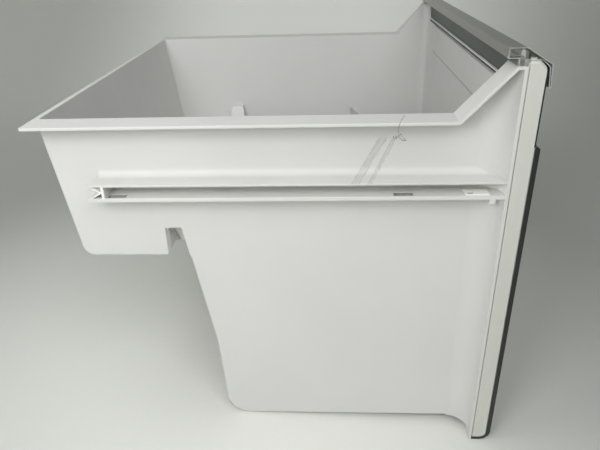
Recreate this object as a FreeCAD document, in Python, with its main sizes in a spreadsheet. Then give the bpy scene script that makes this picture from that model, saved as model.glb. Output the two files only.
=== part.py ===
"""Refrigerator drawer: a stepped moulded tub with side rails, a flat front, a grip and a handle trim.

Frame: X across the drawer, -Y to the front, +Z up, in millimetres. The origin is the centre of the
drawer's footprint at the level of the lowest edge.
"""
import FreeCAD, Part
import math
import os
import re

import Sketcher

# Driving dimensions
SIZES = {
    # tub as a whole
    "overall_width": 460,
    "tub_depth": 396,
    "rim_height": 341,
    "floor_height": 10,
    "wall": 2.4,
    "front_wall": 2.8,
    "rim_thickness": 2.5,
    "side_flange": 23,
    "rear_flange": 2.5,
    # stepped side view, measured down from the rim and forward from the rear edge
    "rear_lean": 16.5,
    "well_depth": 132,
    "notch_position": 101,
    "notch_width": 13.4,
    "notch_height": 29.5,
    "lower_lean": 20.5,
    "knee_depth": 232,
    "foot_lean": 5,
    "well_radius": 11,
    "notch_radius": 7,
    "foot_radius": 24,
    "edge_radius": 2.5,
    "inner_edge_radius": 3,
    "ridge_radius": 6,
    "flare_radius": 21,
    "inner_front_radius": 9,
    "notch_reach": 30,
    "notch_slope": 22,
    "notch_end": 3,
    "lead_width": 2,
    "lead_depth": 5,
    "slit_edge": 1,
    "slit_width": 2.7,
    "slit_depth": 2.5,
    # raised wings beside the front
    "wing_rise": 41,
    "wing_length": 46,
    "wing_flat": 8,
    "front_drop": 17,
    "bead_height": 1,
    "bead_depth": 0.6,
    "groove_height": 4,
    "groove_depth": 1.8,
    "pad_margin": 45,
    "pad_foot": 37,
    "pad_line": 1.2,
    "pad_relief": 1.2,
    # side rails
    "rail_depth": 51,
    "rail_start": 48,
    "rail_skew": 4.5,
    "rail_inset": 1,
    "rail_plate": 1.6,
    "rail_opening": 10.4,
    "rail_lip": 3.4,
    "rail_fillet": 6,
    "stop_web": 2.4,
    "stop_reach": 7,
    "stop_arm": 2.6,
    "slot_edge": 2,
    "slot_width": 6.4,
    "slot_length": 16,
    "slot_depth": 2.4,
    "rear_slot_setback": 20,
    "front_slot_setback": 85,
    "latch_setback": 15,
    "latch_length": 20,
    "latch_width": 11,
    "latch_relief": 1.2,
    "latch_hole": 4.4,
    "latch_hole_setback": 2.8,
    "catch_length": 5,
    "catch_drop": 4,
    "catch_width": 5,
    # lugs inside the side walls
    "lug_setback": 113,
    "lug_length": 20,
    "lug_top": 105,
    "lug_height": 18,
    "lug_reach": 8,
    # front frame and its decor sheet
    "frame_thickness": 15,
    "frame_rise": 4.5,
    "frame_skin": 2.4,
    "frame_chamfer": 5,
    "frame_round": 3,
    "frame_edge": 1.5,
    "joint_width": 0.8,
    "joint_depth": 1.2,
    "rib_columns": 6,
    "rib_rows": 4,
    "sheet_thickness": 3.5,
    "sheet_top": 319.5,
    "sheet_round": 2.2,
    "bend_radius": 8,
    "recess_setback": 1.7,
    "tongue_thickness": 4.6,
    "tongue_setback": 1,
    # grip liner
    "grip_margin": 4,
    "grip_foot": 4,
    "grip_head": 7.5,
    "liner_wall": 2,
    "liner_face": 1.2,
    "cover_setback": 1.5,
    "scoop_radius": 9,
    "fit_gap": 0.2,
    # handle trim
    "trim_wall": 1.5,
    "trim_rise": 9,
    "trim_overhang": 16,
    "trim_hook": 7.5,
    "trim_flat": 13,
    "trim_brow_drop": 12,
    "trim_lip": 17.5,
    "trim_lip_lean": 1.6,
    "trim_inset": 0.3,
    "trim_round": 1.2,
    "cap_thickness": 3,
    "cap_plug": 10,
    "cap_claw": 5,
}

# Levels and planes, worked out from the driving dimensions
Y_SHEET = "(-(tub_depth + frame_thickness + sheet_thickness) / 2)"
Y_FRAME = f"({Y_SHEET} + sheet_thickness)"
Y_SETBACK = f"({Y_FRAME} + recess_setback)"
Y_JOINT = f"({Y_FRAME} + frame_thickness)"
Y_INNER = f"({Y_JOINT} + front_wall)"
Y_REAR = f"({Y_JOINT} + tub_depth)"
Y_TOP = f"({Y_REAR} - rear_flange)"
Y_WELL = f"({Y_TOP} - rear_lean)"
Y_NOTCH = f"({Y_REAR} - notch_position)"
Y_STEP = f"({Y_NOTCH} - notch_width)"
Y_KNEE = f"({Y_STEP} - lower_lean)"
Y_FOOT = f"({Y_KNEE} - foot_lean)"
Y_WING = f"({Y_JOINT} + wing_length)"
Y_CREST = f"({Y_JOINT} + wing_flat)"
Y_RAIL = f"({Y_REAR} - rail_start)"
X_RIM = "(overall_width / 2)"
X_WALL = f"({X_RIM} - side_flange)"
X_INNER = f"({X_WALL} - wall)"
X_RAIL = f"({X_RIM} - rail_inset)"
X_GAP = f"({X_INNER} - inner_front_radius)"
X_GRIP = f"({X_GAP} + grip_margin)"
Z_RIM = "rim_height"
Z_WELL = "(rim_height - well_depth)"
Z_NOTCH = f"({Z_WELL} + notch_height)"
Z_KNEE = "(rim_height - knee_depth)"
Z_WING = "(rim_height + wing_rise)"
Z_LEDGE = f"({Z_WING} - front_drop)"
Z_OPEN = f"({Z_WING} + 4 * frame_rise)"
Z_RAIL = "(rim_height - rail_depth)"
Z_CHANNEL = f"({Z_RAIL} - rail_plate)"
Z_LIP = f"({Z_CHANNEL} - rail_opening)"
Z_FRAME = f"({Z_WING} + frame_rise)"
# Handle trim: its top, its legs beside the frame's tongue, and the brow that falls to the front lip
Z_TRIM = f"({Z_FRAME} + trim_rise)"
Z_UNDER = f"({Z_TRIM} - trim_wall)"
Z_HOOK = f"({Z_TRIM} - trim_hook)"
Z_LIP_TOP = f"({Z_TRIM} - trim_brow_drop)"
Z_LIP_END = f"({Z_LIP_TOP} - trim_lip)"
Y_TONGUE = f"({Y_JOINT} - tongue_setback)"
Y_LEG_BACK = f"({Y_TONGUE} + fit_gap)"
Y_LEG_FRONT = f"({Y_TONGUE} - tongue_thickness - fit_gap)"
Y_HOOK = f"({Y_JOINT} + trim_overhang)"
Y_BROW = f"({Y_HOOK} - trim_flat)"
Y_LIP_END = f"({Y_SHEET} + trim_inset)"
Y_LIP_TOP = f"({Y_LIP_END} + trim_lip_lean)"
BROW_SLOPE = f"(trim_brow_drop / ({Y_BROW} - {Y_LIP_TOP}))"
BROW_SKEW = f"(trim_wall * tan(atan({BROW_SLOPE}) / 2))"
LIP_SKEW = f"(trim_wall * tan(atan(1 / {BROW_SLOPE}) / 2))"
# Shift that keeps the wing's plate as thick as the rim
WING_SKEW = "(rim_thickness * tan(atan(wing_rise / (wing_length - wing_flat)) / 2))"

TOLERANCE = 0.01
AXES = {"X": FreeCAD.Vector(1, 0, 0), "Y": FreeCAD.Vector(0, 1, 0), "Z": FreeCAD.Vector(0, 0, 1)}
SIDES = {"left": -1, "right": 1}

doc = FreeCAD.newDocument("drawer")
sheet = doc.addObject("Spreadsheet::Sheet", "Sizes")
for row, (alias, number) in enumerate(SIZES.items(), start=1):
    sheet.set(f"A{row}", alias.replace("_", " "))
    sheet.set(f"B{row}", str(number))
    sheet.setAlias(f"B{row}", alias)
doc.recompute()


def bound(text):
    """Expression for another object: every alias is read from the sheet."""
    return re.sub(r"[a-z_]+", lambda word: "Sizes." + word[0] if word[0] in SIZES else word[0], text)


def value(text):
    """Number that an expression gives with the sheet's sizes."""
    return float(sheet.evalExpression(text))


def origin_plane(body, role):
    return next(item for item in body.Origin.OriginFeatures if item.Role == role)


def draw(sketch, outline):
    """Closed outline of (x, y) expressions. A third entry (radius, centre x, centre y) makes the edge
    from that point to the next an arc."""
    corners = [FreeCAD.Vector(value(point[0]), value(point[1]), 0) for point in outline]
    edges = []
    for point, start, end in zip(outline, corners, corners[1:] + corners[:1]):
        if len(point) == 2:
            edges.append((sketch.addGeometry(Part.LineSegment(start, end), False), 1, 2))
            continue
        centre = FreeCAD.Vector(value(point[2][1]), value(point[2][2]), 0)
        turns = [math.atan2(end_point.y - centre.y, end_point.x - centre.x) for end_point in (start, end)]
        ends = (1, 2)
        if math.sin(turns[1] - turns[0]) < 0:
            turns.reverse()
            ends = (2, 1)
        circle = Part.Circle(centre, AXES["Z"], value(point[2][0]))
        edges.append((sketch.addGeometry(Part.ArcOfCircle(circle, *turns), False),) + ends)
    for (edge, first, last), following in zip(edges, edges[1:] + edges[:1]):
        sketch.addConstraint(Sketcher.Constraint("Coincident", edge, last, following[0], following[1]))
    for (edge, first, last), point, corner in zip(edges, outline, corners):
        for kind, text, number in (("DistanceX", point[0], corner.x), ("DistanceY", point[1], corner.y)):
            made = sketch.addConstraint(Sketcher.Constraint(kind, -1, 1, edge, first, number))
            sketch.setExpression(f"Constraints[{made}]", bound(text))
        if len(point) == 3:
            made = sketch.addConstraint(Sketcher.Constraint("Radius", edge, value(point[2][0])))
            sketch.setExpression(f"Constraints[{made}]", bound(point[2][0]))


def sketch_on(body, name, role, outlines, offset=None):
    """Sketch on an origin plane of its body, lifted along the plane's normal by an expression."""
    sketch = body.newObject("Sketcher::SketchObject", name + "_sketch")
    sketch.AttachmentSupport = [(origin_plane(body, role), "")]
    sketch.MapMode = "FlatFace"
    if offset:
        sketch.setExpression("AttachmentOffset.Base.z", bound(offset))
    for outline in outlines:
        draw(sketch, outline)
    doc.recompute()
    return sketch


def extrude(kind, body, name, sketch, length, both_ways, backwards):
    feature = body.newObject("PartDesign::" + kind, name)
    feature.Profile = sketch
    feature.SideType = "Symmetric" if both_ways else "One side"
    feature.Reversed = backwards
    feature.setExpression("Length", bound(length))
    sketch.Visibility = False
    doc.recompute()
    return feature


def pad(body, name, role, outlines, length, offset=None, both_ways=False, backwards=False):
    sketch = sketch_on(body, name, role, outlines, offset)
    return extrude("Pad", body, name, sketch, length, both_ways, backwards)


def pocket(body, name, role, outlines, length, offset=None, both_ways=False, backwards=False):
    before = body.Shape.Volume
    sketch = sketch_on(body, name, role, outlines, offset)
    feature = extrude("Pocket", body, name, sketch, length, both_ways, backwards)
    if body.Shape.Volume >= before - TOLERANCE:
        raise RuntimeError(f"{name} removes nothing")
    return feature


def across(body, name, outline, width):
    """Side view outline carried across the drawer, half to each side."""
    return pad(body, name, "YZ_Plane", [outline], width, both_ways=True)


def box(low_x, low_y, high_x, high_y):
    return [(low_x, low_y), (high_x, low_y), (high_x, high_y), (low_x, high_y)]


def edges_along(feature, axis, **place):
    """Names of the straight edges along an axis whose middle has the coordinates given."""
    wanted = {name: value(text) for name, text in place.items()}
    names = []
    for index, edge in enumerate(feature.Shape.Edges, start=1):
        if edge.Degenerated or not isinstance(edge.Curve, Part.Line):
            continue
        if edge.tangentAt(edge.FirstParameter).cross(AXES[axis]).Length > TOLERANCE:
            continue
        middle = edge.CenterOfMass
        if all(abs(getattr(middle, name) - number) < TOLERANCE for name, number in wanted.items()):
            names.append(f"Edge{index}")
    return names


def edges_between(feature, half_width, first, last):
    """Names of the edges that run from one side view point to the other, on both side faces."""
    ends = [FreeCAD.Vector(0, value(point[0]), value(point[1])) for point in (first, last)]
    names = []
    for index, edge in enumerate(feature.Shape.Edges, start=1):
        points = [vertex.Point for vertex in edge.Vertexes]
        if len(points) != 2 or any(abs(abs(point.x) - value(half_width)) > TOLERANCE for point in points):
            continue
        flat = [FreeCAD.Vector(0, point.y, point.z) for point in points]
        line = (ends[1] - ends[0]).normalize()
        if all((point - ends[0]).cross(line).Length < TOLERANCE for point in flat):
            names.append(f"Edge{index}")
    return names


def fillet(body, name, base, edges, radius):
    if not edges:
        raise RuntimeError(f"{name} finds no edges")
    feature = body.newObject("PartDesign::Fillet", name)
    feature.Base = (base, edges)
    feature.setExpression("Radius", bound(radius))
    doc.recompute()
    return feature


def repeat(body, name, feature, directions):
    """Copies of a feature along axes of its sketch, each with a count and a pitch."""
    grid = body.newObject("PartDesign::MultiTransform", name)
    grid.Originals = [feature]
    steps = []
    for axis, (count, pitch) in directions.items():
        step = body.newObject("PartDesign::LinearPattern", f"{name}_{count}")
        step.Direction = (feature.Profile[0], [axis])
        step.setExpression("Occurrences", bound(count))
        step.setExpression("Length", bound(f"{pitch} * ({count} - 1)"))
        steps.append(step)
    grid.Transformations = steps
    body.Tip = grid
    doc.recompute()
    return grid


def new_body(label):
    body = doc.addObject("PartDesign::Body", label)
    body.Label = label
    doc.recompute()
    return body


# Tub


def bin_rear(level, inset):
    """Place along Y of the deep bin's rear wall at a level."""
    return f"({Y_KNEE} - {inset} + ({level} - {Z_KNEE}) * lower_lean / ({Z_NOTCH} - {Z_KNEE}))"


def tub_form(body, inset, front, top, half_width):
    """Stepped block of the tub: a shallow well at the rear and the deep bin in front."""
    floor, well_floor = f"(floor_height + {inset})", f"({Z_WELL} + {inset})"
    points = {
        "front": (front, floor),
        "foot": (f"{Y_FOOT} - {inset}", floor),
        "knee": (f"{Y_KNEE} - {inset}", Z_KNEE),
        "bend": (bin_rear(well_floor, inset), well_floor),
        "well": (f"{Y_WELL} - {inset}", well_floor),
        "rear": (f"{Y_TOP} - {inset}", Z_RIM),
    }
    block = across(body, body.Name + "_block", list(points.values()) + top, f"2 * {half_width}")
    rounded = block
    radii = {"foot": f"foot_radius - {inset}", "well": f"well_radius - {inset}",
             "bend": f"ridge_radius - wall + {inset}"}
    for corner, radius in radii.items():
        edges = edges_along(rounded, "X", y=points[corner][0], z=points[corner][1])
        rounded = fillet(body, f"{body.Name}_{corner}_round", rounded, edges, radius)
    return points, rounded


def round_sides(body, points, base, half_width, radius):
    """Rounds the rear corners and the floor edges of both sides."""
    edges = []
    for first, last in (("well", "rear"), ("knee", "bend"), ("foot", "knee"), ("front", "foot")):
        edges += edges_between(base, half_width, points[first], points[last])
    return fillet(body, body.Name + "_side_round", base, edges, radius)


def add_notches(body, inset, half_width, depth, sill=()):
    """Hollow in each side where the well meets the bin, open below, with a slanting end wall; the sill is
    its rear lower corner."""
    rear, top = f"({Y_NOTCH} + {inset})", f"({Z_NOTCH} + {inset})"
    below = f"({Z_WELL} - notch_radius)"
    outline = [(rear, top), (bin_rear(top, inset), top), (bin_rear(below, inset), below)]
    outline += sill or [(rear, below)]
    for name, side in SIDES.items():
        hollow = pocket(body, f"{body.Name}_notch_{name}", "YZ_Plane", [outline], depth,
                        offset=f"{side} * {half_width}", backwards=side < 0)
    edges = edges_along(hollow, "X", y=rear, z=top)
    fillet(body, body.Name + "_notch_round", hollow, edges, f"ridge_radius - wall + {inset}")
    wedges = []
    for side in SIDES.values():
        end = f"{side} * ({half_width} - {depth})"
        crown = f"{side} * ({half_width} - {depth} + notch_slope)"
        wedges.append([(end, f"{Z_WELL} + {inset}"), (end, top), (crown, top)])
    pad(body, body.Name + "_notch_end", "XZ_Plane", wedges, "notch_width + lower_lean", offset=f"-{rear}")


def make_core():
    """Inside of the tub, open at the top."""
    body = new_body("tub_core")
    top = [(f"{Y_TOP} - wall", Z_OPEN), (Y_INNER, Z_OPEN)]
    points, base = tub_form(body, "wall", Y_INNER, top, X_INNER)
    front = edges_along(base, "Z", y=Y_INNER)
    base = fillet(body, "tub_core_front", base, front, "inner_front_radius")
    round_sides(body, points, base, X_INNER, "inner_edge_radius")
    add_notches(body, "wall", X_INNER, "(notch_reach + notch_end - wall)")
    return body


def quarter(corner_x, corner_y, side_x, side_y, radius):
    """Concave quarter round that fills a corner; the sides give the directions away from it."""
    centre = (f"{corner_x} + {side_x} * {radius}", f"{corner_y} + {side_y} * {radius}")
    return [(corner_x, corner_y), (centre[0], corner_y, (radius,) + centre), (corner_x, centre[1])]


def add_rim(body):
    under, wing_under = f"{Z_RIM} - rim_thickness", f"{Z_WING} - rim_thickness"
    outline = [(Y_REAR, Z_RIM), (Y_WING, Z_RIM), (Y_CREST, Z_WING), (Y_JOINT, Z_WING), (Y_JOINT, wing_under),
               (f"{Y_CREST} - {WING_SKEW}", wing_under), (f"{Y_WING} - {WING_SKEW}", under), (Y_REAR, under)]
    across(body, "rim", outline, "overall_width")


def add_front_plate(body):
    """Front wall, wider and lower than the tub, with a concave sweep from each side wall."""
    across(body, "front_plate", box(Y_JOINT, "0", Y_INNER, Z_WING), "overall_width")
    sweeps = [quarter(f"{side} * {X_WALL}", Y_INNER, side, 1, "flare_radius") for side in SIDES.values()]
    pad(body, "front_sweep", "XY_Plane", sweeps, f"{Z_WING} - floor_height", offset="floor_height")
    above = [(Y_WING, Z_RIM), (Y_CREST, Z_WING), (Y_CREST, Z_OPEN), (Y_WING, Z_OPEN)]
    pocket(body, "wing_slope", "YZ_Plane", [above], "overall_width", both_ways=True)


def add_rails(body):
    """C-shaped channel along each side: a top plate with a soft root, a lower lip and an end stop."""
    width = f"2 * {X_RAIL}"
    plates = []
    for side in SIDES.values():
        outer, inner = f"{side} * {X_RAIL}", f"{side} * {X_INNER}"
        plates.append([(inner, Y_JOINT), (outer, Y_JOINT), (outer, f"{Y_RAIL} + rail_skew"),
                       (f"{side} * {X_WALL}", Y_RAIL), (inner, Y_RAIL)])
    pad(body, "rail_top", "XY_Plane", plates, "rail_plate", offset=Z_CHANNEL)
    pad(body, "rail_bottom", "XY_Plane", plates, "rail_lip", offset=f"{Z_LIP} - rail_lip")
    roots = [quarter(f"{side} * {X_WALL}", Z_RAIL, side, 1, "rail_fillet") for side in SIDES.values()]
    pad(body, "rail_root", "XZ_Plane", roots, f"{Y_RAIL} - {Y_JOINT}", offset=f"-{Y_RAIL}")
    middle = f"{Z_LIP} + rail_opening / 2"
    rear, tip = f"({Y_RAIL} + rail_skew / 2)", f"{Y_RAIL} - stop_reach"
    chevron = [(rear, Z_CHANNEL), (tip, middle), (rear, Z_LIP), (f"{rear} - stop_arm", Z_LIP),
               (f"{tip} - stop_arm", middle), (f"{rear} - stop_arm", Z_CHANNEL)]
    across(body, "rail_stop", chevron, width)
    web = f"{tip} - stop_arm"
    across(body, "rail_web", box(f"{web} - stop_web / 2", Z_LIP, f"{web} + stop_web / 2", Z_CHANNEL), width)


def along_lip(side, edge, width, rear, length):
    """Rectangle on the lip of one rail, seen from above, forward from its rear end."""
    outer = f"{side} * ({X_RAIL} - {edge})"
    inner = f"{side} * ({X_RAIL} - {edge} - {width})"
    return box(outer, f"{rear} - {length}", inner, rear)


def add_rail_details(body):
    """Slots of the lip, the latch pad with its hole, and the catch below it."""
    latch_front = f"({Y_JOINT} + latch_setback)"
    latch_rear = f"({latch_front} + latch_length)"
    pads = [along_lip(side, "slot_edge / 2", "latch_width", latch_rear, "latch_length")
            for side in SIDES.values()]
    pad(body, "latch_pad", "XY_Plane", pads, "latch_relief", offset=Z_LIP)
    catches = [along_lip(side, "0", "catch_width", latch_front, "catch_length") for side in SIDES.values()]
    pad(body, "latch_catch", "XY_Plane", catches, "catch_drop", offset=f"{Z_LIP} - rail_lip", backwards=True)
    slots = []
    for side in SIDES.values():
        for centre in (f"({Y_RAIL} - rear_slot_setback)", f"({Y_JOINT} + front_slot_setback)"):
            rear = f"({centre} + slot_length / 2)"
            slots.append(along_lip(side, "slot_edge", "slot_width", rear, "slot_length"))
        hole = f"({latch_rear} - latch_hole_setback)"
        slots.append(along_lip(side, "slot_edge", "latch_hole", hole, "latch_hole"))
    pocket(body, "rail_slots", "XY_Plane", slots, "slot_depth + latch_relief", offset=f"{Z_LIP} + latch_relief")


def add_inner_details(body):
    """Top of the front wall between the wings, its bead over a groove, a raised pad and two side lugs."""
    gap = box(f"-{X_GAP}", Z_LEDGE, X_GAP, Z_OPEN)
    pocket(body, "front_gap", "XZ_Plane", [gap], "2 * front_wall", offset=f"-{Y_JOINT}", backwards=False)
    bead = box(Y_INNER, f"{Z_LEDGE} - bead_height", f"{Y_INNER} + bead_depth", Z_LEDGE)
    across(body, "front_bead", bead, f"2 * {X_GAP}")
    groove_top = f"({Z_LEDGE} - bead_height)"
    groove_foot = f"({groove_top} - groove_height)"
    groove = box(f"{Y_INNER} - groove_depth", groove_foot, Y_INNER, groove_top)
    pocket(body, "front_groove", "YZ_Plane", [groove], f"2 * {X_GAP}", both_ways=True)
    pad_half = f"({X_GAP} - pad_margin)"
    pad_low = f"({Z_LEDGE} - pad_foot)"
    line = box(f"{Y_INNER} - groove_depth", f"{pad_low} - pad_line", Y_INNER, pad_low)
    pocket(body, "front_line", "YZ_Plane", [line], f"2 * {pad_half}", both_ways=True)
    raised = box(f"-{pad_half}", pad_low, pad_half, groove_foot)
    pad(body, "front_pad", "XZ_Plane", [raised], "pad_relief", offset=f"-{Y_INNER}", backwards=True)
    start = f"({Y_JOINT} + lug_setback)"
    crown = f"({Z_RIM} - lug_top)"
    root, end = f"({crown} - lug_height)", f"({start} - lug_length)"
    hooks = [[(f"{side} * {X_INNER}", root), (f"{side} * {X_INNER}", crown),
              (f"{side} * ({X_INNER} - lug_reach)", crown)] for side in SIDES.values()]
    pad(body, "lugs", "XZ_Plane", hooks, "lug_length", offset=f"-{start}")
    slope = [(start, crown), (end, root), (end, crown)]
    pocket(body, "lug_slope", "YZ_Plane", [slope], f"2 * {X_INNER}", both_ways=True)


def add_outer_notches(body):
    """Side notches as seen from outside: a rounded sill, a lead on the rear edge, a slit down the end wall."""
    below = f"({Z_WELL} - notch_radius)"
    centre = (f"({Y_NOTCH} + notch_radius)", f"({Z_WELL} + notch_radius)")
    sill = [(centre[0], below), (centre[0], Z_WELL, ("notch_radius",) + centre), (Y_NOTCH, centre[1])]
    add_notches(body, "0", X_WALL, "notch_reach", sill)
    leads, slits = [], []
    for side in SIDES.values():
        face = f"{side} * {X_WALL}"
        leads.append([(face, Y_NOTCH), (face, f"{Y_NOTCH} + lead_width"),
                      (f"{side} * ({X_WALL} - lead_depth)", Y_NOTCH)])
        end, crown = f"({X_WALL} - notch_reach)", f"({X_WALL} - notch_reach + notch_slope)"
        slits.append([(f"{side} * {end}", Z_WELL), (f"{side} * {crown}", Z_NOTCH),
                      (f"{side} * ({crown} - slit_depth)", Z_NOTCH), (f"{side} * ({end} - slit_depth)", Z_WELL)])
    pocket(body, "notch_lead", "XY_Plane", leads, f"{Z_NOTCH} - {below}", offset=Z_NOTCH)
    pocket(body, "notch_slit", "XZ_Plane", slits, "slit_width", offset=f"-({Y_NOTCH} - slit_edge)", backwards=True)


def make_tub():
    core = make_core()
    body = new_body("tub")
    top = [(Y_WING, Z_RIM), (Y_CREST, Z_WING), (Y_JOINT, Z_WING)]
    points, base = tub_form(body, "0", Y_JOINT, top, X_WALL)
    round_sides(body, points, base, X_WALL, "edge_radius")
    add_outer_notches(body)
    add_rim(body)
    add_front_plate(body)
    add_rails(body)
    add_rail_details(body)
    hollow = body.newObject("PartDesign::Boolean", "tub_hollow")
    hollow.Type = "Cut"
    hollow.addObjects([core])
    doc.recompute()
    add_inner_details(body)
    return body


# Front


def make_frame():
    """White frame behind the decor sheet: a skin with a grid of ribs, a grip window and a tongue on top."""
    body = new_body("front_frame")
    foot = "sheet_thickness"
    bend = ("bend_radius", f"{Y_FRAME} + bend_radius", f"{foot} + bend_radius")
    section = [(Y_JOINT, foot), (f"{Y_FRAME} + bend_radius", foot, bend), (Y_FRAME, f"{foot} + bend_radius"),
               (Y_FRAME, "sheet_top"), (Y_SETBACK, "sheet_top"), (Y_SETBACK, f"{Z_FRAME} - frame_chamfer"),
               (f"{Y_SETBACK} + frame_chamfer", Z_FRAME), (Y_JOINT, Z_FRAME)]
    form = across(body, "frame_section", section, "overall_width")
    shoulders = []
    for first, last in zip(section[5:], section[6:]):
        shoulders += edges_between(form, X_RIM, first, last)
    fillet(body, "frame_shoulder", form, shoulders, "frame_round")
    edges, grooves = [], []
    for side in SIDES.values():
        outer = f"{side} * {X_RIM}"
        edges.append([(outer, Y_FRAME), (outer, f"{Y_FRAME} + frame_edge"),
                      (f"{side} * ({X_RIM} - frame_edge)", Y_FRAME)])
        grooves.append(box(outer, f"{Y_JOINT} - joint_width", f"{side} * ({X_RIM} - joint_depth)", Y_JOINT))
    pocket(body, "frame_edge_cut", "XY_Plane", edges, Z_OPEN, offset=Z_OPEN)
    pocket(body, "frame_joint", "XY_Plane", grooves, Z_OPEN, offset=Z_OPEN)
    tongue = box(f"{Y_TONGUE} - tongue_thickness", Z_FRAME, Y_TONGUE, f"{brow_under(Y_LEG_FRONT)} - fit_gap")
    across(body, "frame_tongue", tongue, "overall_width - 2 * (cap_thickness + fit_gap)")
    window = box(f"-{X_GRIP}", "sheet_top + grip_foot", X_GRIP, f"{Z_FRAME} - grip_head")
    pocket(body, "frame_window", "XZ_Plane", [window], "2 * frame_thickness", offset=f"-{Y_JOINT}",
           both_ways=True)
    low = f"({foot} + bend_radius)"
    pitch = {"columns": "((overall_width - frame_skin) / rib_columns)",
             "rows": f"((sheet_top - frame_skin - {low}) / rib_rows)"}
    left = "(-overall_width / 2 + frame_skin)"
    cell = box(left, low, f"{left} + {pitch['columns']} - frame_skin",
               f"{low} + {pitch['rows']} - frame_skin")
    first = pocket(body, "frame_cell", "XZ_Plane", [cell], "frame_thickness - frame_skin",
                   offset=f"-{Y_JOINT}", backwards=True)
    repeat(body, "frame_grid", first, {"H_Axis": ("rib_columns", pitch["columns"]),
                                       "V_Axis": ("rib_rows", pitch["rows"])})
    return body


def make_sheet():
    """Decor sheet on the face of the frame, folded under its lower edge."""
    body = new_body("front_sheet")
    outer = "(bend_radius + sheet_thickness)"
    centre = (f"{Y_SHEET} + {outer}", outer)
    section = [(Y_JOINT, "0"), (centre[0], "0", (outer,) + centre), (Y_SHEET, outer), (Y_SHEET, "sheet_top"),
               (Y_FRAME, "sheet_top"), (Y_FRAME, outer, ("bend_radius",) + centre),
               (centre[0], "sheet_thickness"), (Y_JOINT, "sheet_thickness")]
    form = across(body, "sheet_section", section, "overall_width")
    fillet(body, "sheet_crown", form, edges_along(form, "X", y=Y_SHEET, z="sheet_top"), "sheet_round")
    return body


def make_liner():
    """Dark liner: a face strip over the recess and a finger scoop through the frame's window."""
    body = new_body("grip_liner")
    half = f"({X_GRIP} - fit_gap)"
    low, high = "(sheet_top + grip_foot + fit_gap)", f"({Z_FRAME} - grip_head - fit_gap)"
    back = f"({Y_JOINT} - fit_gap)"
    across(body, "liner_strip", box(f"{Y_SETBACK} - liner_face", "sheet_top + fit_gap", Y_SETBACK, high),
           "overall_width")
    pad(body, "liner_scoop", "XZ_Plane", [box(f"-{half}", low, half, high)], f"{back} - {Y_SETBACK}",
        offset=f"-{back}")
    ledge, cover_back = f"({Z_LEDGE} + fit_gap)", f"({Y_INNER} - cover_setback)"
    cover_width = f"2 * ({X_GAP} - fit_gap)"
    across(body, "liner_cover", box(Y_SETBACK, ledge, cover_back, high), cover_width)
    mouth, floor = f"{Y_SETBACK} - 2 * liner_wall", f"({low} + liner_wall)"
    wall_face = f"({back} - liner_wall)"
    curve = ("scoop_radius", f"{wall_face} - scoop_radius", f"{floor} + scoop_radius")
    hollow = [(mouth, floor), (curve[1], floor, curve), (wall_face, curve[2]),
              (wall_face, f"{high} - liner_wall"), (mouth, f"{high} - liner_wall")]
    pocket(body, "liner_hollow", "YZ_Plane", [hollow], f"2 * ({half} - liner_wall)", both_ways=True)
    cavity = box(f"{back} - 2 * liner_wall", f"{ledge} + liner_wall", f"{cover_back} - liner_wall",
                 f"{high} - liner_wall")
    pocket(body, "liner_cavity", "YZ_Plane", [cavity], f"{cover_width} - 2 * liner_wall", both_ways=True)
    return body


def brow_under(place):
    """Level of the brow's underside at a place along Y."""
    return f"({Z_UNDER} - ({Y_BROW} + {BROW_SKEW} - {place}) * {BROW_SLOPE})"


def round_trim(body, name, base):
    """Softens the long edges that a hand meets."""
    edges = edges_along(base, "X", y=Y_HOOK, z=Z_TRIM) + edges_along(base, "X", y=Y_LIP_TOP, z=Z_LIP_TOP)
    return fillet(body, name, base, edges, "trim_round")


def make_trim():
    """Handle trim: a hooked top, a sloping brow, a front lip and two legs that grip the frame's tongue."""
    body = new_body("handle_trim")
    foot, heel = f"({Y_LEG_FRONT} - trim_wall)", f"({Y_LEG_BACK} + trim_wall)"
    section = [(Y_HOOK, Z_HOOK), (Y_HOOK, Z_TRIM), (Y_BROW, Z_TRIM), (Y_LIP_TOP, Z_LIP_TOP),
               (Y_LIP_END, Z_LIP_END), (f"{Y_LIP_END} + trim_wall", Z_LIP_END),
               (f"{Y_LIP_TOP} + trim_wall", f"{Z_LIP_TOP} - {LIP_SKEW}"),
               (foot, brow_under(foot)), (foot, Z_FRAME), (Y_LEG_FRONT, Z_FRAME),
               (Y_LEG_FRONT, brow_under(Y_LEG_FRONT)), (Y_LEG_BACK, brow_under(Y_LEG_BACK)),
               (Y_LEG_BACK, Z_FRAME), (heel, Z_FRAME), (heel, brow_under(heel)),
               (f"{Y_BROW} + {BROW_SKEW}", Z_UNDER), (f"{Y_HOOK} - trim_wall", Z_UNDER),
               (f"{Y_HOOK} - trim_wall", Z_HOOK)]
    profile = across(body, "trim_section", section, "overall_width - 2 * cap_thickness")
    round_trim(body, "trim_rounds", profile)
    return body


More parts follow.
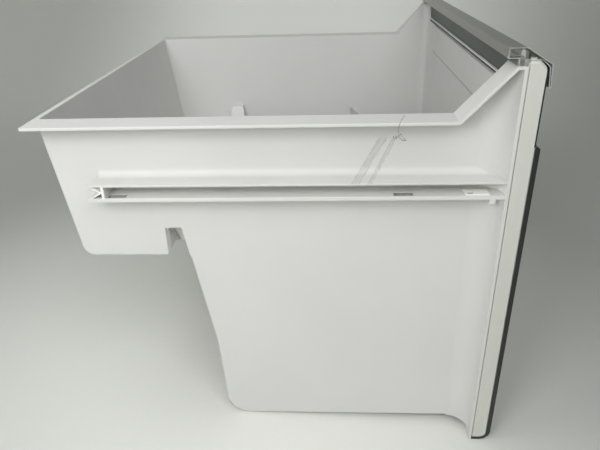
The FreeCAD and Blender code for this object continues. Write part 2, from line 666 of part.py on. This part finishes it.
def make_cap(name, side):
    """Clear end cap of the trim, with a plug in its hollow and a claw that stands on the wing."""
    body = new_body(f"trim_end_cap_{name}")
    claw_back = f"({Y_CREST} - fit_gap)"
    claw_front = f"({claw_back} - cap_claw)"
    seat = f"({Z_FRAME} + fit_gap)"
    face = [(Y_HOOK, Z_HOOK), (Y_HOOK, Z_TRIM), (Y_BROW, Z_TRIM), (Y_LIP_TOP, Z_LIP_TOP),
            (Y_LIP_END, Z_LIP_END), (f"{Y_LIP_END} + trim_wall", Z_LIP_END),
            (f"{Y_LIP_TOP} + trim_wall", f"{Z_FRAME} - frame_chamfer"),
            (f"{Y_SETBACK} + frame_chamfer - fit_gap", seat), (claw_front, seat), (claw_front, Z_WING),
            (claw_back, Z_WING), (claw_back, Z_HOOK)]
    inner = f"{side} * ({X_RIM} - cap_thickness)"
    plate = pad(body, f"cap_face_{name}", "YZ_Plane", [face], "cap_thickness", offset=inner,
                backwards=side < 0)
    round_trim(body, f"cap_rounds_{name}", plate)
    plug = box(f"{Y_BROW} + {BROW_SKEW} + fit_gap", Z_HOOK, f"{Y_HOOK} - trim_wall - fit_gap", Z_UNDER)
    pad(body, f"cap_plug_{name}", "YZ_Plane", [plug], "cap_plug", offset=inner, backwards=side > 0)
    return body


nodes = [make_tub(), make_frame(), make_sheet(), make_liner(), make_trim()]
nodes += [make_cap(name, side) for name, side in SIDES.items()]
doc.recompute()

failed = [item.Name for item in doc.Objects if {"Invalid", "Error"} & set(item.State)]
failed += [node.Label for node in nodes if node.Shape.isNull() or not node.Shape.isValid()]
if failed:
    raise RuntimeError("failed objects: " + ", ".join(failed))

os.makedirs("parts", exist_ok=True)
for node in nodes:
    node.Shape.exportStep(f"parts/{node.Label}.step")
    print(node.Label, len(node.Shape.Solids), "solids", round(node.Shape.Volume / 1000, 1), "cm3")
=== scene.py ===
import math

import bpy
from mathutils import Matrix, Vector

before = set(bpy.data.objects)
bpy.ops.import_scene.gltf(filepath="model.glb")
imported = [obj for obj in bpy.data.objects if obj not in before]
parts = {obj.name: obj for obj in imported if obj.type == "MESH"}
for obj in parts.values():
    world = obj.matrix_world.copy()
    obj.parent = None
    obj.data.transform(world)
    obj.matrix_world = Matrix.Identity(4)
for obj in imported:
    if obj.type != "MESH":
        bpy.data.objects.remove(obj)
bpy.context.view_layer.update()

MM = 0.001


def linear(level):
    """One screen channel, 0 to 255, in linear light."""
    share = level / 255
    return share / 12.92 if level < 10.3 else ((share + 0.055) / 1.055) ** 2.4


def paint(red, green, blue):
    """A colour as it looks on a screen, in the linear form that shaders take."""
    return (linear(red), linear(green), linear(blue), 1.0)


class Signal:
    """An output in a finish's node tree. Arithmetic on it adds Math nodes."""

    def __init__(self, finish, socket):
        self.finish = finish
        self.socket = socket

    def maths(self, operation, first, second=0.0):
        return self.finish.node("Math", {"operation": operation}, {0: first, 1: second})

    def __add__(self, other):
        return self.maths("ADD", self, other)

    def __radd__(self, other):
        return self.maths("ADD", other, self)

    def __sub__(self, other):
        return self.maths("SUBTRACT", self, other)

    def __rsub__(self, other):
        return self.maths("SUBTRACT", other, self)

    def __mul__(self, other):
        return self.maths("MULTIPLY", self, other)

    def __rmul__(self, other):
        return self.maths("MULTIPLY", other, self)

    def __abs__(self):
        return self.maths("ABSOLUTE", self)


class Finish:
    """One procedural material on a Principled shader, laid out in Object coordinates."""

    def __init__(self, name, constants):
        self.material = bpy.data.materials.new(name)
        self.material.use_nodes = True
        self.tree = self.material.node_tree
        self.shader = self.tree.nodes["Principled BSDF"]
        self.drive(constants)
        self.place = self.node("TexCoord", {}, {}, "Object")

    def node(self, kind, settings, inputs, output=0):
        made = self.tree.nodes.new("ShaderNode" + kind)
        for key, setting in settings.items():
            setattr(made, key, setting)
        for key, value in inputs.items():
            self.feed(made.inputs[key], value)
        return Signal(self, made.outputs[output])

    def feed(self, socket, value):
        if isinstance(value, Signal):
            self.tree.links.new(value.socket, socket)
        else:
            socket.default_value = value

    def drive(self, inputs):
        for key, value in inputs.items():
            self.feed(self.shader.inputs[key], value)

    def axes(self):
        """Object x, y and z as three signals, in metres."""
        return [self.node("SeparateXYZ", {}, {0: self.place}, axis) for axis in range(3)]

    def joined(self, x, y, z):
        return self.node("CombineXYZ", {}, {0: x, 1: y, 2: z})

    def noise(self, scale, detail=3.0, stretch=None, distortion=0.0, where=None):
        where = where or self.place
        if stretch:
            where = self.node("Mapping", {}, {"Vector": where, "Scale": stretch})
        pattern = {"Vector": where, "Scale": scale, "Detail": detail, "Distortion": distortion}
        return self.node("TexNoise", {}, pattern)

    def ramp(self, value, low, high, at_low=0.0, at_high=1.0):
        """Goes smoothly from at_low to at_high as the value goes from low to high."""
        limits = {0: value, 1: low, 2: high, 3: at_low, 4: at_high}
        return self.node("MapRange", {"interpolation_type": "SMOOTHSTEP"}, limits)

    def edge(self, value, outside, inside):
        """A soft limit, 0 at outside and 1 at inside, both in millimetres."""
        return self.ramp(value, outside * MM, inside * MM)

    def window(self, value, first, second):
        """1 between two soft limits."""
        return self.edge(value, *first) * self.edge(value, *second)

    def clamp(self, value):
        return self.node("Clamp", {}, {0: value})

    def blend(self, factor, first, second):
        return self.node("Mix", {"data_type": "RGBA"}, {0: factor, 6: first, 7: second}, 2)

    def vector(self, operation, first, second):
        return self.node("VectorMath", {"operation": operation}, {0: first, 1: second})

    def measure(self, operation, first, second):
        return self.node("VectorMath", {"operation": operation}, {0: first, 1: second}, "Value")

    def soft_edges(self, radius):
        return self.node("Bevel", {"samples": 6}, {"Radius": radius * MM})

    def relief(self, height, strength, distance, normal):
        """Bump over a normal, with its distance in millimetres."""
        bump = {"Strength": strength, "Distance": distance * MM, "Height": height, "Normal": normal}
        return self.node("Bump", {}, bump)

    def overlay(self, factor, inputs):
        """A second Principled shader, shown where the factor is 1."""
        under = Signal(self, self.shader.outputs[0])
        over = self.node("BsdfPrincipled", {}, inputs)
        mixed = self.node("MixShader", {}, {0: factor, 1: under, 2: over})
        self.feed(self.tree.nodes["Material Output"].inputs["Surface"], mixed)

    def put_on(self, name):
        piece = parts[name]
        piece.data.materials.clear()
        piece.data.materials.append(self.material)


# White mouldings. Limits and points are in millimetres, in the part's frame.

BAND_WALL = (-204.8, -206.8)
BAND_TOP = (325, 319)
BAND_FOOT = (289.2, 289.8)
BAND_FRAY = 1.6 * MM
STREAK_STRETCH = 0.07
RUB_BANDS = (
    {"across": (0.240, 0.8545, 0.461), "at": 24.4 * MM, "half_width": 2.9 * MM},
    {"across": (0.2434, 0.880, 0.408), "at": -3.84 * MM, "half_width": 1.4 * MM},
)

STROKE_HALF = 0.28 * MM
STROKE_FADE = (0.25 * MM, 0.1 * MM)
STROKE_WAVER = 0.9 * MM
STROKE_WALL = (-202, -205)
UNDER_RIM_TOP = (340.7, 340.4)
ON_RIM_TOP = (340.2, 340.6)
WALL_STROKES = (
    ((-95.3, 322.6), (-95.8, 320.7), (-97.2, 322.6)),
    ((-97.2, 322.6), (-97.7, 320.7), (-99.1, 322.7), (-100.9, 324.5)),
    ((-100.9, 324.5), (-105.6, 319.0)),
    ((-99.6, 322.2), (-103.3, 318.9), (-105.8, 318.9)),
    ((-99.2, 323.9), (-99.0, 329.0), (-99.9, 338.4)),
    ((-96.6, 338.6), (-97.2, 341.2)),
)
RIM_STROKE = ((-230.0, -97.1, 0), (-208.6, -103.1, 0))

SLOT_ACROSS = ((228.5, 227.8), (219.0, 220.0))
SLOT_DEPTH = ((277.9, 277.5), (275.0, 275.3))
SLOT_REAR = (152, 148)

CHANNEL_ACROSS = ((205.4, 206.2), (229.4, 228.8))
CHANNEL_HEIGHT = ((278.0, 278.6), (288.8, 288.5))
CHANNEL_REAR = (158.4, 157.4)

FRONT_SPAN = (196, 195)
BEAD_HEIGHT = ((363.9, 364.2), (365.9, 365.5))
BEAD_FACE = (-184.0, -184.6)
GROOVE_HEIGHT = ((359.8, 360.6), (364.3, 363.8))
GROOVE_FACE = (-186.1, -186.5)
PAD_FOOT_HEIGHT = ((324.8, 325.8), (328.2, 327.8))
PAD_FOOT_FACE = (-185.3, -185.6)
PAD_SPAN = (150.6, 149.8)


def moulded_white(name, bright, shade):
    """White moulding: slow tone drift, fine mould grain, patchy gloss, softened edges."""
    finish = Finish(name, {"IOR": 1.49})
    drift = finish.noise(scale=7)
    patch = finish.noise(scale=42, detail=5, distortion=0.7)
    grain = finish.noise(scale=1400, detail=2)
    rounded = finish.soft_edges(radius=0.6)
    finish.drive({
        "Roughness": 0.42 + 0.14 * finish.ramp(patch, 0.35, 0.7) + 0.05 * grain,
        "Normal": finish.relief(grain, strength=0.12, distance=0.15, normal=rounded),
    })
    return finish, finish.blend(finish.ramp(drift, 0.3, 0.7), bright, shade)


def rub_bands(finish):
    """Two slanting rub bands on the left wall and the rail's top: a streaked dull body with
    frayed edges, and pale flecks beside it."""
    x, _, z = finish.axes()
    where = finish.edge(x, *BAND_WALL) * finish.window(z, BAND_TOP, BAND_FOOT)
    fray = finish.noise(scale=240, detail=4) - 0.5
    speck = finish.noise(scale=520, detail=2)
    dull, pale = 0.0, 0.0
    for band in RUB_BANDS:
        half = band["half_width"]
        _, rise, climb = band["across"]
        offset = finish.measure("DOT_PRODUCT", finish.place, band["across"]) - band["at"]
        along = finish.measure("DOT_PRODUCT", finish.place, (0, -climb, rise))
        lane = finish.joined(offset, STREAK_STRETCH * along, 0.0)
        streak = finish.noise(scale=900, detail=2, where=lane)
        away = abs(offset + BAND_FRAY * fray)
        body = finish.ramp(away, half + 0.3 * MM, half - 0.3 * MM)
        beside = abs(away - half)
        frayed = finish.edge(beside, 0.9, 0.1) * finish.ramp(fray, -0.12, 0.12)
        dull = dull + body * finish.ramp(streak, 0.35, 0.65, 0.45, 0.85) + 0.7 * frayed
        pale = pale + finish.edge(beside, 1.8, 0.5) * finish.ramp(speck, 0.66, 0.71)
    return dull * where, pale * where


def stroke(finish, flat, start, end):
    """A thin line between two points of a flat place signal."""
    first = Vector(start) * MM
    run = Vector(end) * MM - first
    offset = finish.vector("SUBTRACT", flat, first)
    share = finish.clamp(finish.measure("DOT_PRODUCT", offset, run / run.length_squared))
    reached = finish.node("VectorMath", {"operation": "SCALE"}, {0: run, "Scale": share})
    away = finish.measure("DISTANCE", offset, reached)
    return finish.ramp(away, STROKE_HALF + STROKE_FADE[0], STROKE_HALF - STROKE_FADE[1])


def hair_scratches(finish):
    """A crooked scratch under the rim and a hairline up over the rim, on the left side only."""
    x, y, z = finish.axes()
    wavy = y + STROKE_WAVER * (finish.noise(scale=420, detail=2) - 0.5)
    upright = finish.joined(0.0, wavy, z)
    on_wall = 0.0
    for path in WALL_STROKES:
        for start, end in zip(path, path[1:]):
            on_wall = on_wall + stroke(finish, upright, (0, *start), (0, *end))
    on_wall = on_wall * finish.edge(x, *STROKE_WALL) * finish.edge(z, *UNDER_RIM_TOP)
    level = finish.joined(x, wavy, 0.0)
    on_rim = stroke(finish, level, *RIM_STROKE) * finish.edge(z, *ON_RIM_TOP)
    gaps = finish.ramp(finish.noise(scale=700), 0.34, 0.5)
    return finish.clamp(on_wall + on_rim) * gaps


def slot_painted_shade(finish):
    """Painted shade on the floors and walls of the blind slots in both rails, mottled."""
    x, y, z = finish.axes()
    inside = finish.window(abs(x), *SLOT_ACROSS) * finish.window(z, *SLOT_DEPTH)
    mottle = finish.ramp(finish.noise(scale=260), 0.2, 0.5, 0.75, 1.0)
    return inside * finish.edge(y, *SLOT_REAR) * mottle


def channel_painted_light(finish):
    """Painted light: a paler tone inside both rail channels, which lie in shade."""
    x, y, z = finish.axes()
    inside = finish.window(abs(x), *CHANNEL_ACROSS) * finish.window(z, *CHANNEL_HEIGHT)
    return inside * finish.edge(y, *CHANNEL_REAR)


def bead_painted_highlight(finish):
    """Painted highlight on the front wall's bead and the ledge over it, so that it reads as a
    bright line.
    """
    x, y, z = finish.axes()
    across = finish.edge(abs(x), *FRONT_SPAN)
    return across * finish.window(z, *BEAD_HEIGHT) * finish.edge(y, *BEAD_FACE)


def groove_painted_shade(finish):
    """Painted shade in the groove under the front wall's bead, and more faintly along the foot of
    the raised pad.
    """
    x, y, z = finish.axes()
    side = abs(x)
    groove = finish.window(z, *GROOVE_HEIGHT) * finish.edge(y, *GROOVE_FACE)
    foot = finish.window(z, *PAD_FOOT_HEIGHT) * finish.edge(y, *PAD_FOOT_FACE)
    return groove * finish.edge(side, *FRONT_SPAN) + 0.35 * foot * finish.edge(side, *PAD_SPAN)


def dress_tub():
    bright, shade = paint(215, 215, 213), paint(211, 211, 209)
    finish, colour = moulded_white("tub_white_moulded", bright, shade)
    dull, pale = rub_bands(finish)
    layers = (
        # Painted light: paler tone inside the shaded rail channels.
        (0.9, channel_painted_light(finish), paint(242, 242, 238)),
        # Painted shade: dark tone on the floors of the rail slots.
        (0.85, slot_painted_shade(finish), paint(125, 123, 118)),
        # Painted highlight: near-white tone on the bead and ledge.
        (1.0, bead_painted_highlight(finish), paint(250, 250, 249)),
        # Painted shade: dark tone in the groove under the bead and along the pad's foot.
        (1.0, groove_painted_shade(finish), paint(58, 58, 57)),
        (0.42, dull, paint(150, 150, 146)),
        (0.8, pale, paint(240, 240, 236)),
        (0.8, hair_scratches(finish), paint(120, 119, 115)),
    )
    for strength, mask, tone in layers:
        colour = finish.blend(finish.clamp(strength * mask), colour, tone)
    finish.drive({"Base Color": colour})
    finish.put_on("tub")


def dress_frame():
    bright, shade = paint(206, 207, 201), paint(202, 203, 197)
    finish, colour = moulded_white("frame_white_moulded", bright, shade)
    finish.drive({"Base Color": colour})
    finish.put_on("front_frame")


# Dark, metal and clear finishes.

def dress_sheet():
    """Dark satin decor sheet with a fine level grain."""
    gloss = {"IOR": 1.5, "Coat Weight": 0.25, "Coat Roughness": 0.12}
    finish = Finish("sheet_dark_satin", gloss)
    grain = finish.noise(scale=220, detail=4, stretch=(0.05, 1, 9))
    smear = finish.noise(scale=16, detail=5, distortion=0.5)
    rounded = finish.soft_edges(radius=0.5)
    finish.drive({
        "Base Color": finish.blend(grain, paint(29, 30, 29), paint(37, 38, 36)),
        "Roughness": 0.3 + 0.12 * smear + 0.06 * grain,
        "Normal": finish.relief(grain, strength=0.06, distance=0.1, normal=rounded),
    })
    finish.put_on("front_sheet")


def dress_liner():
    """Polished dark grey moulding with a slow ripple and faint wipe marks."""
    finish = Finish("liner_grey_moulded", {"IOR": 1.5})
    ripple = finish.noise(scale=60, detail=2)
    wiped = finish.noise(scale=90, detail=4, stretch=(0.15, 1, 1))
    drift = finish.noise(scale=20)
    rounded = finish.soft_edges(radius=0.4)
    finish.drive({
        "Base Color": finish.blend(drift, paint(37, 44, 43), paint(43, 50, 49)),
        "Roughness": 0.3 + 0.1 * wiped,
        "Normal": finish.relief(ripple, strength=0.05, distance=0.1, normal=rounded),
    })
    finish.put_on("grip_liner")


def dress_trim():
    """Satin anodised metal, brushed along its length."""
    finish = Finish("trim_satin_metal", {"Metallic": 1.0})
    brush = finish.noise(scale=2600, stretch=(0.01, 1, 1))
    cloud = finish.noise(scale=30, stretch=(0.2, 1, 1))
    rounded = finish.soft_edges(radius=0.3)
    finish.drive({
        "Base Color": finish.blend(brush, paint(154, 154, 150), paint(182, 182, 178)),
        "Roughness": 0.3 + 0.12 * brush + 0.06 * cloud,
        "Normal": finish.relief(brush, strength=0.1, distance=0.05, normal=rounded),
    })
    finish.put_on("handle_trim")


def dress_cap(name, flow_scale):
    """Clear moulded plastic with faint flow lines, and a painted highlight on its edges: a pale
    coat mixed over them.
    """
    finish = Finish(name + "_clear", {"IOR": 1.2, "Transmission Weight": 0.95})
    flow = finish.noise(scale=flow_scale, detail=2, stretch=(1, 0.3, 1))
    rounded = finish.soft_edges(radius=1.0)
    flat = finish.node("NewGeometry", {}, {}, "True Normal")
    # Painted highlight: edges found from the rounded normal get a pale, non-clear coat.
    rim = finish.ramp(finish.measure("DOT_PRODUCT", rounded, flat), 0.99, 0.9)
    finish.drive({
        "Base Color": finish.blend(flow, paint(226, 229, 225), paint(240, 242, 239)),
        "Roughness": 0.05 + 0.1 * flow,
        "Normal": finish.relief(flow, strength=0.05, distance=0.1, normal=rounded),
    })
    finish.overlay(rim * 0.85, {
        "Base Color": finish.blend(flow, paint(238, 239, 236), paint(250, 250, 248)),
        "Roughness": 0.2 + 0.1 * flow,
    })
    finish.put_on(name)


# Stage, light and camera, in metres.

STAGE_RADIUS = 1.9
STAGE_WALL = 1.3
STAGE_CURVE = 0.8
STAGE_GAP = 0.15 * MM
PANEL_FOOT = -188.75 * MM
REST_TILT = math.radians(2.47)
TONE_CENTRE = (0, 0.06, 0)
SEEN_RAYS = ("Is Camera Ray", "Is Glossy Ray", "Is Transmission Ray")


def make_sweep():
    """A round floor that turns up into a low wall, tilted to meet the panel's edge and the tub."""
    bpy.ops.object.select_all(action="DESELECT")
    bpy.ops.mesh.primitive_circle_add(vertices=128, radius=STAGE_RADIUS, fill_type="NGON")
    sweep = bpy.context.object
    sweep.name = "studio_sweep"
    bpy.ops.object.mode_set(mode="EDIT")
    bpy.ops.mesh.select_mode(type="EDGE")
    bpy.ops.mesh.select_all(action="SELECT")
    bpy.ops.mesh.region_to_loop()
    bpy.ops.mesh.extrude_edges_move(TRANSFORM_OT_translate={"value": (0, 0, STAGE_WALL)})
    bpy.ops.mesh.select_all(action="DESELECT")
    bpy.ops.object.mode_set(mode="OBJECT")
    for edge in sweep.data.edges:
        heights = [sweep.data.vertices[i].co.z for i in edge.vertices]
        edge.select = max(heights) < STAGE_WALL / 2
    bpy.ops.object.mode_set(mode="EDIT")
    bpy.ops.mesh.bevel(offset=STAGE_CURVE, segments=16)
    bpy.ops.mesh.select_all(action="SELECT")
    bpy.ops.mesh.normals_make_consistent(inside=True)
    bpy.ops.object.mode_set(mode="OBJECT")
    bpy.ops.object.shade_smooth()
    turn = Matrix.Rotation(REST_TILT, 4, "X")
    foot = Matrix.Translation((0, PANEL_FOOT, -STAGE_GAP))
    drop = Matrix.Translation((0, 0, -STAGE_GAP))
    sweep.data.transform(foot @ turn @ foot.inverted() @ drop)
    return sweep


def make_stage():
    """Pale paper. Where it is seen, directly or in a reflection, it has painted shade, greyer round
    the object, and a painted glow from emission, lighter far behind it; the light on the object
    doesn't change."""
    sweep = make_sweep()
    finish = Finish("sweep_paper", {"IOR": 1.4, "Emission Strength": 1.0})
    x, y, _ = finish.axes()
    fibre = finish.noise(scale=300)
    paper = finish.blend(fibre, paint(226, 227, 222), paint(230, 231, 226))
    rays = [finish.node("LightPath", {}, {}, kind) for kind in SEEN_RAYS]
    seen = finish.clamp(rays[0] + rays[1] + rays[2])
    far = finish.measure("DISTANCE", finish.place, TONE_CENTRE)
    # Painted shade: where it is seen, the paper round the object is blended to grey.
    grey = finish.ramp(far, 0.24, 0.62) * finish.ramp(x + 0.6 * y, 1.6, 0.4, 0.0, 0.8)
    middle = finish.ramp(y, 0.9, 0.3) * finish.ramp(y, -1.0, -0.15)
    behind = finish.ramp(x, 0.55, 1.3) * middle
    finish.drive({
        "Base Color": finish.blend(seen * grey, paper, paint(176, 178, 175)),
        "Roughness": 0.85 + 0.1 * fibre,
        # Painted glow: where it is seen, the paper far behind the object emits light.
        "Emission Color": finish.blend(seen * behind, paint(0, 0, 0), paint(132, 132, 131)),
    })
    sweep.data.materials.append(finish.material)


LAMP_AIM = Vector((0, 0, 0.15))
LAMPS = {
    "eye_box": {"place": (-0.75, 0.25, 0.6), "size": 0.3, "power": 2.6},
    "high_box": {"place": (-1.1, -0.4, 1.3), "size": 0.8, "power": 6.4},
    "over_box": {"place": (-0.3, 0.35, 1.0), "size": 0.4, "power": 1.7},
}
ROOM_STRENGTH = 0.29


def make_light():
    for name, box in LAMPS.items():
        lamp = bpy.data.lights.new(name, "AREA")
        lamp.shape = "SQUARE"
        lamp.size = box["size"]
        lamp.energy = box["power"]
        holder = bpy.data.objects.new(name, lamp)
        bpy.context.scene.collection.objects.link(holder)
        holder.location = box["place"]
        facing = LAMP_AIM - Vector(box["place"])
        holder.rotation_euler = facing.to_track_quat("-Z", "Y").to_euler()
    world = bpy.data.worlds.new("room")
    bpy.context.scene.world = world
    world.use_nodes = True
    sky = world.node_tree.nodes["Background"]
    sky.inputs["Color"].default_value = paint(253, 255, 254)
    sky.inputs["Strength"].default_value = ROOM_STRENGTH


EYE = Vector((-651.6, -42.25, 470.5)) * MM
YAW, PITCH, ROLL = (math.radians(angle) for angle in (3.424, 27.292, -1.84))
FOCAL_SHARE = 556.46 / 600


def make_camera():
    """The photograph's view: level axes turned by yaw, pitch and roll."""
    lens = bpy.data.cameras.new("photo_camera")
    lens.sensor_width = 36
    lens.lens = FOCAL_SHARE * lens.sensor_width
    lens.clip_start = 0.01
    camera = bpy.data.objects.new("photo_camera", lens)
    bpy.context.scene.collection.objects.link(camera)
    level = Matrix(((0, -1, 0), (0, 0, -1), (1, 0, 0)))
    tilted = Matrix.Rotation(PITCH, 3, "X") @ Matrix.Rotation(YAW, 3, "Y") @ level
    right, down, ahead = Matrix.Rotation(ROLL, 3, "Z") @ tilted
    turned = Matrix((right, -down, -ahead)).transposed()
    camera.matrix_world = Matrix.Translation(EYE) @ turned.to_4x4()
    bpy.context.scene.camera = camera


dress_tub()
dress_frame()
dress_sheet()
dress_liner()
dress_trim()
dress_cap("trim_end_cap_left", flow_scale=190)
dress_cap("trim_end_cap_right", flow_scale=210)
make_stage()
make_light()
make_camera()
bpy.context.scene.view_settings.view_transform = "Standard"
